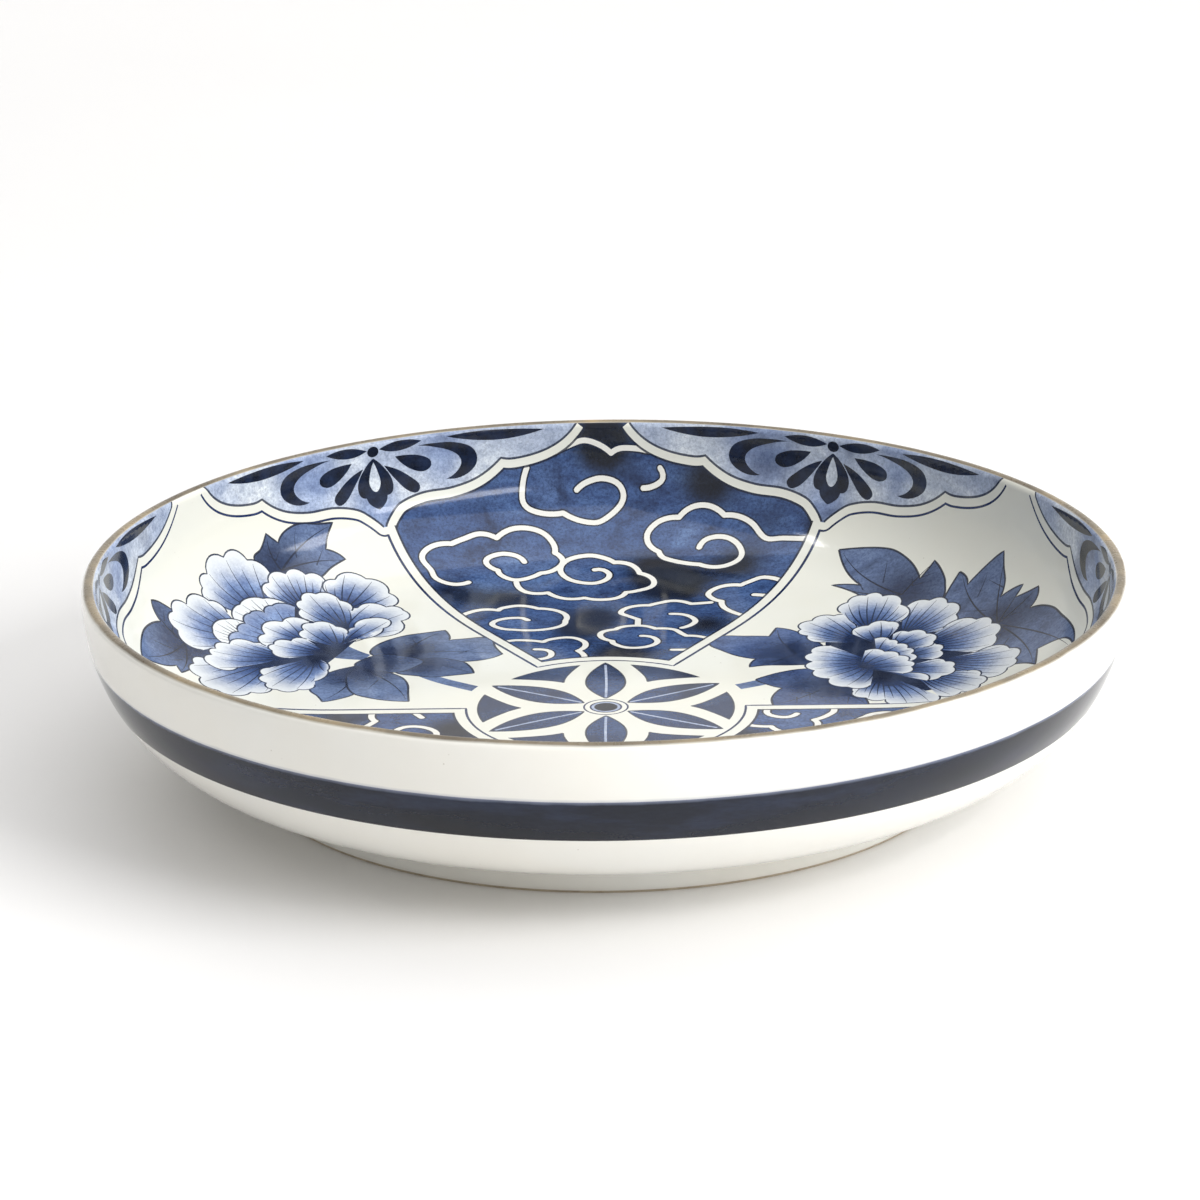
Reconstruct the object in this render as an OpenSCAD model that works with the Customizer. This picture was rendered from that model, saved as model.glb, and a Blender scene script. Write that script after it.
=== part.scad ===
// Shallow porcelain serving bowl on a turned foot ring, with printed sections
// over the whole inside, an iron-brown lip and a cobalt band round the outside.
// Origin: centre of the foot ring on the table, +Z up, millimetres.

/* [Bowl] */
// Outside diameter at the lip
bowl_d = 220; // [183:1:264]
// Overall height from the table to the top of the lip
bowl_h = 44; // [36.5:0.5:53]
// Thickness of the wall at the lip
lip_t = 3; // [2.4:0.1:3.6]
// Height of the inside floor above the table
floor_z = 11.5; // [10:0.1:13.5]
// Radius of the flat middle of the inside floor
floor_r = 55; // [46:1:66]

/* [Foot] */
// Outside diameter of the foot ring where it meets the bowl
foot_d = 155; // [129:1:186]
// Height of the foot ring
foot_h = 7.4; // [6.2:0.1:7.8]
// Width of the foot ring at its top
foot_w = 6.5; // [5.5:0.1:7.8]
// Height of the hollow under the bowl, inside the foot ring
recess_h = 8; // [7.6:0.1:9.6]
// Width of the flat resting face of the foot ring
rest_w = 3; // [2.5:0.1:3.6]

/* [Coats] */
// Depth of the printed sections and of the cobalt band
print_t = 0.3; // [0.25:0.01:0.36]
// Thickness of the iron coat on the lip
lip_coat_t = 0.4; // [0.34:0.01:0.48]
// Height of the iron coat, down from the top of the lip
lip_coat_h = 2; // [1.9:0.1:2.4]
// Height of the lower edge of the cobalt band above the table
band_low_z = 22.8; // [19.5:0.1:24.5]
// Height of the upper edge of the cobalt band above the table
band_high_z = 32; // [28:0.1:34]

/* [Printed sections] */
// Diameter of the round rosette in the middle
rosette_d = 62; // [52:1:74]
// Height of the point of a rim lappet above the inside floor
lappet_rise = 13; // [11:0.1:15.6]

/* [Hidden] */
// Roundness of the wall: exponents of the two wall curves
outer_power = 2.15;
inner_power = 2.6;
outer_steps = 8;
inner_steps = 26;
lip_steps = 12;
// The print repeats three times round the bowl, and the lappets six times
panel_count = 3;
panel_turn = 360 / panel_count;
sector = 60;
cloud_turn = 90;
peony_turn = 30;
// Half of a lappet, from its blunt point to just under the lip coat: degrees from
// its middle, and how far up between the point (0) and the lip coat (1)
lappet_half = [[0.3, 0], [1.6, 0.13], [3.2, 0.24], [6.4, 0.32], [10.4, 0.34], [14, 0.44],
    [17, 0.66], [18.6, 0.64], [22, 0.74], [24, 0.9]];
// Degrees from its middle at which a lappet passes under the lip coat
lappet_end = 25;
// Radius from which a lappet's cutting block starts, and its headroom
block_start_r = 60;
block_headroom = 5;

bowl_r = bowl_d / 2;
lip_r = lip_t / 2;
wall_top_z = bowl_h - lip_r;
coat_low_z = bowl_h - lip_coat_h;
foot_r = foot_d / 2;
foot_in_r = foot_r - foot_w;
rest_out_r = foot_r - (foot_w - rest_w) / 2;
rest_in_r = rest_out_r - rest_w;
foot_flare_z = foot_h / 4;
inner_top_r = bowl_r - lip_t;
rosette_r = rosette_d / 2;
// The lip coat starts on the wall a little below the rounded lip
inner_coat_t = wall_turn(coat_low_z, floor_z, inner_power);

// A quarter of a rounded-square curve that starts level at (r0, z0) and ends
// upright at (r1, wall_top_z); turn runs from 0 to 90
function wall_point(turn, r0, z0, r1, power) =
    [r0 + (r1 - r0) * pow(sin(turn), 2 / power),
     z0 + (wall_top_z - z0) * (1 - pow(cos(turn), 2 / power))];
// The turn at which that curve passes a height
function wall_turn(z, z0, power) = acos(pow(1 - (z - z0) / (wall_top_z - z0), power / 2));
function outer_point(turn) = wall_point(turn, foot_r, foot_h, bowl_r, outer_power);
function inner_point(turn) = wall_point(turn, floor_r, floor_z, inner_top_r, inner_power);
function outer_run(z_from, z_to, steps) =
    let (a = wall_turn(z_from, foot_h, outer_power), b = wall_turn(z_to, foot_h, outer_power))
    [for (i = [0:steps]) outer_point(a + (b - a) * i / steps)];
// Inside face from the edge of the flat floor to the lower edge of the lip coat
function inner_run() = [for (i = [0:inner_steps]) inner_point(inner_coat_t * i / inner_steps)];
// The same run moved into the wall by depth, with its last point kept level
function unit(v) = v / norm(v);
function into_wall(run, depth) =
    [for (i = [0:len(run) - 1])
        let (d = unit(run[min(i + 1, len(run) - 1)] - run[max(i - 1, 0)]))
        i == 0 ? run[i] - [0, depth]
        : i == len(run) - 1 ? run[i] + [depth, 0]
        : run[i] + depth * [d[1], -d[0]]];
function reversed(run) = [for (i = [len(run) - 1:-1:0]) run[i]];
// Half circle over the lip, from the inside to the outside
function lip_arc(radius) =
    [for (i = [0:lip_steps])
        [bowl_r - lip_r - radius * cos(180 * i / lip_steps), wall_top_z + radius * sin(180 * i / lip_steps)]];
// Height on the inside wall at a fraction of the way up a lappet
function lappet_z(f) = floor_z + lappet_rise + f * (coat_low_z - floor_z - lappet_rise);
function inner_r(z) = inner_point(wall_turn(z, floor_z, inner_power))[0];
function lappet_corner(p) = [inner_r(lappet_z(p[1])) * sin(p[0]), lappet_z(p[1])];

inner_face = inner_run();
inner_back = into_wall(inner_face, print_t);
band_face = outer_run(band_low_z, band_high_z, outer_steps);
band_back = [for (p = band_face) p - [print_t, 0]];

module turned(points) {
    rotate_extrude($fn = 180) polygon(points);
}

// One piece of a revolve, centred on an angle
module turned_sector(points, middle, width) {
    rotate([0, 0, middle - width / 2])
        rotate_extrude(angle = width, $fn = 180) polygon(points);
}

// Everything the printed sections fill, outside the rosette
function print_profile() =
    concat([[rosette_r, floor_z - print_t], [rosette_r, floor_z]], inner_face, reversed(inner_back));

// Block with a lappet's outline that cuts through the inside wall, along +X
module lappet_block() {
    half = [for (p = lappet_half) lappet_corner(p)];
    right = concat(half, [[inner_top_r * sin(lappet_end), bowl_h + block_headroom]]);
    left = [for (i = [len(right) - 1:-1:0]) [-right[i][0], right[i][1]]];
    translate([block_start_r, 0, 0])
        rotate([90, 0, 90])
            linear_extrude(height = bowl_r - block_start_r) polygon(concat(right, left));
}

module panel(middle) {
    difference() {
        turned_sector(print_profile(), middle, sector);
        for (side = [-1, 1])
            rotate([0, 0, middle + side * sector / 2]) lappet_block();
    }
}

module bowl_body() {
    color("ivory")
        turned(concat(
            [[0, floor_z - print_t]], inner_back,
            [[inner_top_r + lip_coat_t, coat_low_z]], lip_arc(lip_r - lip_coat_t),
            [[bowl_r - lip_coat_t, coat_low_z], outer_point(wall_turn(coat_low_z, foot_h, outer_power))],
            reversed(outer_run(band_high_z, coat_low_z, outer_steps)),
            reversed(band_back),
            reversed(outer_run(foot_h, band_low_z, 2 * outer_steps)),
            [[foot_in_r, foot_h], [foot_in_r, recess_h], [0, recess_h]]));
}

module foot_ring() {
    color("linen")
        turned([[foot_in_r, foot_h], [foot_in_r, foot_flare_z], [rest_in_r, 0], [rest_out_r, 0],
            [foot_r - foot_flare_z / 2, foot_flare_z], [foot_r, foot_h]]);
}

module rim_band() {
    color("saddlebrown")
        turned(concat(
            [[inner_top_r + lip_coat_t, coat_low_z], inner_face[len(inner_face) - 1]],
            lip_arc(lip_r),
            [outer_point(wall_turn(coat_low_z, foot_h, outer_power)), [bowl_r - lip_coat_t, coat_low_z]],
            reversed(lip_arc(lip_r - lip_coat_t))));
}

module outer_band() {
    color("midnightblue") turned(concat(band_face, reversed(band_back)));
}

module centre_rosette() {
    color("slateblue") translate([0, 0, floor_z - print_t]) cylinder(h = print_t, r = rosette_r, $fn = 180);
}

module cloud_panel(k) {
    color("royalblue") panel(cloud_turn + k * panel_turn);
}

module peony_panel(k) {
    color("aliceblue") panel(peony_turn + k * panel_turn);
}

module rim_lappet(k) {
    middle = k * sector;
    color("lightsteelblue")
        intersection() {
            turned_sector(print_profile(), middle, sector);
            rotate([0, 0, middle]) lappet_block();
        }
}

bowl_body();
foot_ring();
rim_band();
outer_band();
centre_rosette();
for (k = [0:panel_count - 1]) {
    cloud_panel(k);
    peony_panel(k);
}
for (k = [0:2 * panel_count - 1])
    rim_lappet(k);
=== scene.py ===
"""Shallow porcelain serving bowl: glazes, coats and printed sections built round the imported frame."""
import math

import bpy
import numpy as np
from mathutils import Matrix, Vector
from mathutils.geometry import delaunay_2d_cdt


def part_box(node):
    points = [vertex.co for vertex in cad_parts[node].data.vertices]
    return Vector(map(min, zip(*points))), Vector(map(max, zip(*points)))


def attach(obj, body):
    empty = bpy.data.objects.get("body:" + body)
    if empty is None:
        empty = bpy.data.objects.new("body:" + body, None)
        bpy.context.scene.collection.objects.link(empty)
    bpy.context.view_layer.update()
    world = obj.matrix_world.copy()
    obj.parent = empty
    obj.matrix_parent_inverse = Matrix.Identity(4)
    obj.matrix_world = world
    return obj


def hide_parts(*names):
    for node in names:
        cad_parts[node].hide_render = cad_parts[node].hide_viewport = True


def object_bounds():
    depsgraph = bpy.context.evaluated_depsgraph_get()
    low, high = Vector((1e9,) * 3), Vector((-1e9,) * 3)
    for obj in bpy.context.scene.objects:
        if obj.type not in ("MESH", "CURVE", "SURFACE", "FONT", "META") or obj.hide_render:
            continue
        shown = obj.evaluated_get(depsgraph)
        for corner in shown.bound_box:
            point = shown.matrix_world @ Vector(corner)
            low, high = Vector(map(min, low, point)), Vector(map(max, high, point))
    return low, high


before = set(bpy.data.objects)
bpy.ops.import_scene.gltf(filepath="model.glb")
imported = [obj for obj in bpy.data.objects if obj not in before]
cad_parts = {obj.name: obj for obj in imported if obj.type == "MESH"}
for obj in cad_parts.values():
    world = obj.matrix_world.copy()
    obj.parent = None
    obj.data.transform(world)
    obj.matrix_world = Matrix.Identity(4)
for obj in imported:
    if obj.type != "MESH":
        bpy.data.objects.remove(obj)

cad_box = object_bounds()

# ---- sizes, in millimetres
MM = 0.001


def node_box(name):
    low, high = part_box(name)
    return np.array(low) / MM, np.array(high) / MM


BOWL_R, _, BOWL_H = np.array(cad_box[1]) / MM
FOOT_R, _, FOOT_H = node_box("foot_ring")[1]
(*_, PRINT_BACK), (ROSETTE_R, _, FLOOR_Z) = node_box("centre_rosette")
PRINT_T = FLOOR_Z - PRINT_BACK
(*_, BAND_LOW), (*_, BAND_HIGH) = node_box("outer_band")
COAT_LOW = node_box("rim_band")[0][2]
# The wall's curves and the lip, as the CAD has them
LIP_T = 3
LIP_COAT_T = 0.4
FLOOR_R = 55
OUTER_POWER = 2.15
INNER_POWER = 2.6
FOOT_W = 6.5
REST_W = 3
RECESS_H = 8
LAPPET_RISE = 13
# Degrees from its middle at which a lappet's side meets the lip
LAPPET_EDGE = 26.8
# Half of a lappet: degrees from its middle, share of the height from its point to the lip coat;
# a third value marks a corner
LAPPET_HALF = [(0.3, 0, 1), (1.6, 0.13), (3.2, 0.24), (6.4, 0.32), (10.4, 0.34), (14, 0.44),
               (17, 0.66, 1), (18.6, 0.64), (22.3, 0.72), (24.9, 0.87)]

# How far round the inside of the lip the print runs before the brown of the coat
PRINT_END = math.radians(48)
# The design repeats in sectors of this many degrees, and the angle that a section is drawn at
SECTOR = 60
HALF_SECTOR = SECTOR / 2
DRAWN_AT = 90

LIP_R = LIP_T / 2
WALL_TOP = BOWL_H - LIP_R
INNER_TOP_R = BOWL_R - LIP_T
FOOT_IN_R = FOOT_R - FOOT_W
REST_OUT_R = FOOT_R - (FOOT_W - REST_W) / 2
REST_IN_R = REST_OUT_R - REST_W


# ---- wall curves
def wall_point(turn, r0, z0, r1, power):
    """Radius and height on a quarter of a rounded square, level at its start and upright at its end."""
    r = r0 + (r1 - r0) * np.sin(turn) ** (2 / power)
    z = z0 + (WALL_TOP - z0) * (1 - np.cos(turn) ** (2 / power))
    return np.stack([r, z], -1)


def wall_turn(z, z0, power):
    return math.acos((1 - (z - z0) / (WALL_TOP - z0)) ** (power / 2))


def outer_run(z_from, z_to, steps):
    start, end = (wall_turn(z, FOOT_H, OUTER_POWER) for z in (z_from, z_to))
    return wall_point(np.linspace(start, end, steps + 1), FOOT_R, FOOT_H, BOWL_R, OUTER_POWER)


def lip_arc(radius, steps, start=PRINT_END, end=math.pi):
    """Over the lip, from the inside to the outside."""
    turn = np.linspace(start, end, steps + 1)
    return np.stack([BOWL_R - LIP_R - radius * np.cos(turn), WALL_TOP + radius * np.sin(turn)], -1)


def inner_run(steps):
    """The inside face, from the edge of the flat floor up the wall and round the lip to the print's end."""
    wall = wall_point(np.linspace(0, math.pi / 2, steps + 1), FLOOR_R, FLOOR_Z, INNER_TOP_R, INNER_POWER)
    return np.vstack([wall, lip_arc(LIP_R, steps // 12 + 1, 0, PRINT_END)[1:]])


INSIDE = np.vstack([[0, FLOOR_Z], inner_run(1500)])
ALONG = np.concatenate([[0], np.cumsum(np.hypot(*np.diff(INSIDE, axis=0).T))])
SLOPE = np.gradient(INSIDE, ALONG, axis=0)
EDGE_S = ALONG[-1]


def s_at_height(z):
    return np.interp(z, INSIDE[1:, 1], ALONG[1:])


# How far along the inside face a lappet's blunt point lies
POINT_S = s_at_height(FLOOR_Z + LAPPET_RISE)


def inside_at(s):
    """Radius, height and the unit normal (outward part, upward part) at a distance along the inside face."""
    r, z = (np.interp(s, ALONG, INSIDE[:, k]) for k in (0, 1))
    dr, dz = (np.interp(s, ALONG, SLOPE[:, k]) for k in (0, 1))
    length = np.hypot(dr, dz)
    return r, z, -dz / length, dr / length


# ---- lines and outlines, flat
def unit(v):
    return v / max(np.linalg.norm(v), 1e-9)


def curve(points, step=0.7, closed=False):
    """A smooth line through the points. A third value on a point makes it a corner."""
    spots = [np.array(p[:2], float) for p in points]
    sharp = [len(p) > 2 for p in points]
    n = len(spots)
    out = []
    for i in range(n if closed else n - 1):
        j = (i + 1) % n
        a, b = spots[i], spots[j]
        start_free = sharp[i] or (not closed and i == 0)
        end_free = sharp[j] or (not closed and j == n - 1)
        length = np.linalg.norm(b - a)
        enter = None if start_free else unit(b - spots[i - 1])
        leave = None if end_free else unit(spots[(j + 1) % n] - a)
        if enter is None:
            enter = unit(b - a) if leave is None else unit(2 * unit(b - a) - leave)
        if leave is None:
            leave = unit(2 * unit(b - a) - enter) if not start_free else unit(b - a)
        k = max(2, round(length / step))
        for t in np.arange(k) / k:
            out.append(a * (2 * t**3 - 3 * t**2 + 1) + b * (3 * t**2 - 2 * t**3)
                       + length * (enter * (t**3 - 2 * t**2 + t) + leave * (t**3 - t**2)))
    if not closed:
        out.append(spots[-1])
    return np.array(out)


def runs(points):
    """The points cut at their corners."""
    cuts = [0] + [i for i, p in enumerate(points[:-1]) if i and len(p) > 2] + [len(points) - 1]
    return [points[a:b + 1] for a, b in zip(cuts, cuts[1:])]


def arc(a, b, bulge, steps=8):
    """Points from a towards b, without b, on an arc that swells to the left by a share of the chord."""
    a, b = np.array(a[:2], float), np.array(b[:2], float)
    side = np.array([-(b - a)[1], (b - a)[0]]) * bulge
    t = np.arange(steps) / steps
    # Fuller than a parabola, like a petal's lobe
    swell = 1 - (2 * t - 1) ** 2
    return a + np.outer(t, b - a) + np.outer(swell**0.8, side)


def ring_points(u, v, radius, steps=14, stretch=1):
    turn = np.arange(steps) * 2 * math.pi / steps
    return np.stack([u + radius * np.cos(turn), v + radius * stretch * np.sin(turn)], -1)


def ribbon(path, widths):
    """The outline of a band along a path, as wide as widths says at each point or all along."""
    widths = np.broadcast_to(widths, len(path))[:, None] / 2
    along = np.gradient(path, axis=0)
    along /= np.maximum(np.linalg.norm(along, axis=1), 1e-9)[:, None]
    side = np.stack([-along[:, 1], along[:, 0]], -1) * widths
    return np.vstack([path + side, (path - side)[::-1]])


def winding(spots, outline):
    """How many times an outline goes round each spot."""
    x, y = spots[:, 0][:, None], spots[:, 1][:, None]
    x0, y0 = outline[:, 0][None], outline[:, 1][None]
    x1, y1 = np.roll(x0, -1), np.roll(y0, -1)
    left = (x1 - x0) * (y - y0) - (x - x0) * (y1 - y0)
    return ((y0 <= y) & (y1 > y) & (left > 0)).sum(1) - ((y0 > y) & (y1 <= y) & (left < 0)).sum(1)


# ---- colours
def tint(code):
    """A linear colour from a hex code."""
    c = np.array([int(code[i:i + 2], 16) / 255 for i in (0, 2, 4)])
    return np.where(c <= 0.04045, c / 12.92, ((c + 0.055) / 1.055) ** 2.4)


WHITE = tint("efede6")
INK = tint("1a2236")
LINE = tint("24335a")
COBALT = tint("3b5482")
DEEP = tint("1c2842")
MID = tint("657eaa")
PALE = tint("a8b3ca")
MILK = tint("e1e5e7")
WASH = tint("8496bb")
THIN_WASH = tint("ccd4de")
LEAF = tint("5e7196")
NIGHT = tint("141a28")
PETAL = tint("2c4474")
PETAL_MID = tint("7087b3")
DARK_LEAF = tint("465a86")
LEAF_HEART = tint("22304f")


def flat(colour, load=1.0, alpha=1.0):
    """One colour all over; load is how much blue the brush left, which the glaze then mottles."""
    def paint(u, v):
        return np.tile(np.append(colour, [load, alpha]), u.shape + (1,))
    return paint


def paint_layer(colour, load=1.0):
    """An opaque layer: colours with the blue's load and a full alpha."""
    rest = np.ones(colour.shape[:-1] + (2,))
    rest[..., 0] = load
    return np.concatenate([colour, rest], -1)


def ease(t):
    t = np.clip(t, 0, 1)
    return t * t * (3 - 2 * t)


def blend(a, b, t):
    return a * (1 - t[..., None]) + b * t[..., None]


def pooled(u, v, pools):
    """A level round a half, lowered and raised by soft pools: u, v, size, strength."""
    t = np.full(u.shape, 0.5)
    for pool_u, pool_v, size, strength in pools:
        t = t + strength * np.exp(-((u - pool_u) ** 2 + (v - pool_v) ** 2) / size**2)
    return t


BARE = flat(WHITE, 0)
INK_LINE = flat(INK, 1, 0.9)
DARK_LINE = flat(INK, 1, 0.95)
BLUE_LINE = flat(LINE)


# ---- painted sections
PITCH = 1.0  # of the triangles between the painted edges


class Section:
    """A printed section laid flat: u to the right, v away from the middle of the bowl, in millimetres."""

    def __init__(self, outline, ground):
        self.outline = np.array(outline, float)
        self.shapes = [(self.outline, ground)]
        # Degrees clockwise by which the drawing that follows is turned about the middle of the bowl
        self.lean = 0

    def fill(self, outline, paint):
        lean = self.lean

        def leaned(u, v):
            spots = turned(np.stack([u.ravel(), v.ravel()], -1), -lean)
            return paint(spots[:, 0].reshape(u.shape), spots[:, 1].reshape(u.shape))
        self.shapes.append((turned(outline, lean), leaned))

    def blot(self, points, step, paint):
        """A smooth closed shape through the points."""
        self.fill(curve(points, step, closed=True), paint)

    def edge(self, outline, width, paint):
        """A line all round a closed outline."""
        self.fill(ribbon(np.vstack([outline, outline[:1]]), width), paint)

    def line(self, points, width, paint, taper=None, step=0.7):
        """A brush line; taper gives its widths at the start, middle and end as shares of width."""
        for run in runs(points):
            path = curve(run, step)
            if taper is None:
                self.fill(ribbon(path, width), paint)
                for end in (path[0], path[-1]):
                    self.fill(ring_points(*end, width / 2, 10), paint)
            else:
                shares = np.interp(np.linspace(0, 1, len(path)), [0, 0.5, 1], taper)
                self.fill(ribbon(path, np.maximum(width * shares, 0.04)), paint)

    def triangles(self):
        """Flat triangles that follow every painted edge, and the colour and load at each corner."""
        spots, edges = [], []
        for outline, _ in self.shapes:
            first = len(spots)
            n = len(outline)
            spots.extend(Vector(p) for p in outline)
            edges.extend((first + i, first + (i + 1) % n) for i in range(n))
        low, high = self.outline.min(0), self.outline.max(0)
        rows = np.arange(low[1], high[1], PITCH * 0.866)
        for k, row in enumerate(rows):
            us = np.arange(low[0] + (k % 2) * PITCH / 2, high[0], PITCH)
            spots.extend(Vector((u, row)) for u in us)
        verts, _, faces, *_ = delaunay_2d_cdt(spots, edges, [], 0, 1e-5)
        flat_verts = np.array([v[:] for v in verts])
        tris = np.array(faces)
        middles = flat_verts[tris].mean(1)
        inside = np.zeros(len(tris), bool)
        found = np.flatnonzero(((middles > low) & (middles < high)).all(1))
        inside[found] = winding(middles[found], self.outline) != 0
        tris, middles = tris[inside], middles[inside]
        corners = flat_verts[tris]
        colour = np.zeros(tris.shape + (4,))
        for outline, paint in self.shapes:
            low, high = outline.min(0), outline.max(0)
            near = np.flatnonzero(((middles >= low) & (middles <= high)).all(1))
            if not len(near):
                continue
            hit = near[winding(middles[near], outline) != 0]
            laid = paint(corners[hit, :, 0], corners[hit, :, 1])
            alpha = laid[..., 4:]
            colour[hit] = colour[hit] * (1 - alpha) + laid[..., :4] * alpha
        used, tris = np.unique(tris, return_inverse=True)
        return flat_verts[used], tris.reshape(-1, 3), colour


def on_wall(flat_points):
    """Points and unit normals on the inside face for flat points of a section."""
    u, v = flat_points.T
    r, z, out, up = inside_at(np.hypot(u, v))
    angle = math.radians(DRAWN_AT) - np.arctan2(u, v)
    across = np.stack([np.cos(angle), np.sin(angle)], -1)
    points = np.column_stack([across * r[:, None], z])
    normals = np.column_stack([across * out[:, None], up])
    return points, normals


def border_loops(tris):
    """Directed edges that belong to one triangle only."""
    edges = np.vstack([tris[:, [0, 1]], tris[:, [1, 2]], tris[:, [2, 0]]])
    keys = {}
    for a, b in edges:
        keys[(min(a, b), max(a, b))] = None if (min(a, b), max(a, b)) in keys else (a, b)
    return [e for e in keys.values() if e is not None]


def section_mesh(name, section, material):
    """A closed thin shell: painted face, back face and edge walls."""
    flat_verts, tris, colour = section.triangles()
    top, normals = on_wall(flat_verts)
    back = top - normals * PRINT_T
    n = len(top)
    rim = np.array(border_loops(tris))
    walls = np.vstack([np.column_stack([rim[:, 1], rim[:, 0], rim[:, 0] + n]),
                       np.column_stack([rim[:, 1], rim[:, 0] + n, rim[:, 1] + n])])
    faces = np.vstack([tris, tris[:, ::-1] + n, walls])
    mesh = bpy.data.meshes.new(name)
    mesh.from_pydata((np.vstack([top, back]) * MM).tolist(), [], faces.tolist())
    colours = np.ones((len(faces), 3, 4))
    colours[:len(tris)] = colour
    colours[len(tris):] = np.append(WHITE, 0)
    layer = mesh.color_attributes.new("Paint", "FLOAT_COLOR", "CORNER")
    layer.data.foreach_set("color", colours.astype(np.float32).ravel())
    verts = np.vstack([top, back])
    wall_normal = np.cross(verts[walls[:, 1]] - verts[walls[:, 0]], verts[walls[:, 2]] - verts[walls[:, 0]])
    wall_normal /= np.maximum(np.linalg.norm(wall_normal, axis=1), 1e-12)[:, None]
    loop_normals = np.concatenate([normals[tris], -normals[tris[:, ::-1]],
                                   np.repeat(wall_normal[:, None], 3, 1)]).reshape(-1, 3)
    mesh.shade_smooth()
    mesh.normals_split_custom_set(loop_normals.tolist())
    mesh.materials.append(material)
    return mesh


# ---- section outlines
def lappet_side():
    """One side of a lappet, flat, from its point to the end of the print on the lip."""
    point_z = FLOOR_Z + LAPPET_RISE
    corners = []
    for degrees, share, *corner in LAPPET_HALF:
        s = s_at_height(point_z + share * (COAT_LOW - point_z))
        turn = math.radians(degrees)
        corners.append((s * math.sin(turn), s * math.cos(turn), *corner))
    end = math.radians(LAPPET_EDGE)
    corners.append((EDGE_S * math.sin(end), EDGE_S * math.cos(end)))
    return curve(corners)


def turned(points, degrees):
    """Flat points turned clockwise about the middle of the bowl."""
    c, s = math.cos(math.radians(degrees)), math.sin(math.radians(degrees))
    u, v = np.asarray(points, float).T
    return np.stack([u * c + v * s, v * c - u * s], -1)


def round_points(radius, from_deg, to_deg, steps):
    turns = np.radians(np.linspace(from_deg, to_deg, steps + 1))
    return np.stack([radius * np.sin(turns), radius * np.cos(turns)], -1)


def mirrored(points):
    return (np.asarray(points) * [-1, 1])[::-1]


def lappet_outline():
    side = lappet_side()
    top = round_points(EDGE_S, LAPPET_EDGE, -LAPPET_EDGE, 60)[1:-1]
    return np.vstack([side, top, mirrored(side)])


def panel_outline():
    """A sector between two lappets: up its left side, along the rim, down its right side."""
    right_lappet = turned(mirrored(lappet_side()), HALF_SECTOR)
    left = mirrored(right_lappet)
    gap = HALF_SECTOR - LAPPET_EDGE
    rim = round_points(EDGE_S, -gap, gap, 12)[1:-1]
    floor = round_points(ROSETTE_R, HALF_SECTOR, -HALF_SECTOR, 48)
    # Each side keeps to the sector's edge as far as the level of the lappet's blunt point
    up_left = turned(np.linspace([0, ROSETTE_R], [0, POINT_S], 40)[1:], -HALF_SECTOR)
    down_right = mirrored(up_left)
    return np.vstack([floor, up_left, left, rim, right_lappet, down_right])


# ---- brush work
SIDE_VEIN_GAP = 2.6  # how far a leaf's side vein keeps from the other veins
TIP = 2  # marks a corner that a leaf's vein runs to
LEAF_REACH = 13  # how far from its heart a leaf is dark
LEAF_VEIN = 0.5
PETAL_VEIN = 0.34
PETAL_RIM = 0.42
BORDER_W = 1.9  # white band round a lappet
LINE_W = 0.55  # blue line along that band
SIDE_LINE = 0.34  # half of the blue line between a cloud panel and a peony panel
DRAWN_LEAN = 1.5  # degrees clockwise that the panels' drawings sit off the borders


def petal(section, base, notches, veins=11, bulge=0.3, pale_from=0.56, edge=MILK):
    """A petal that opens from its base: lobes between the notches, veins, and a pale edge."""
    base = np.array(base, float)
    notches = [np.array(p, float) for p in notches]
    loop = np.array([base] + notches)
    turning = np.roll(loop, -1, 0)
    area = (loop[:, 0] * turning[:, 1] - turning[:, 0] * loop[:, 1]).sum()
    swell = -bulge if area > 0 else bulge
    lobes = [arc(a, b, swell) for a, b in zip(notches, notches[1:])]
    rim = np.vstack(lobes + [notches[-1][None]])
    spread = rim - base
    bearing = np.unwrap(np.arctan2(spread[:, 1], spread[:, 0]))
    reach = np.linalg.norm(spread, axis=1)
    order = np.argsort(bearing)
    bearing, reach = bearing[order], reach[order]
    middle = (bearing[0] + bearing[-1]) / 2

    def paint(u, v):
        turn = np.arctan2(v - base[1], u - base[0])
        turn = middle + (turn - middle + math.pi) % (2 * math.pi) - math.pi
        t = np.hypot(u - base[0], v - base[1]) / np.interp(turn, bearing, reach)
        pale = ease((t - pale_from) / 0.42)
        colour = blend(blend(DEEP, PETAL, ease((t - 0.1) / 0.3)), PETAL_MID, ease((t - 0.3) / 0.4))
        colour = blend(colour, edge, pale)
        return paint_layer(colour, 1 - 0.92 * pale)

    section.fill(np.vstack([base[None], rim]), paint)
    deep_line = flat(DEEP, 1, 0.95)
    for k in range(veins):
        turn = bearing[0] + (bearing[-1] - bearing[0]) * (k + 0.5) / veins
        far = np.interp(turn, bearing, reach)
        way = np.array([math.cos(turn), math.sin(turn)])
        lean = 0.05 * (k - (veins - 1) / 2) / veins * 2
        start, end = base + way * far * 0.2, base + way * far * (0.94 if k % 2 else 0.78)
        bend = np.array([-way[1], way[0]]) * far * lean
        section.line([start, (start + end) / 2 + bend, end], PETAL_VEIN, deep_line, taper=(1, 1, 0.25))
    section.fill(ribbon(rim, PETAL_RIM), deep_line)


def gap(spot, a, b):
    """Distance from a spot to the line between a and b."""
    along = np.clip((spot - a) @ (b - a) / ((b - a) @ (b - a)), 0, 1)
    return np.linalg.norm(spot - a - along * (b - a))


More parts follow.
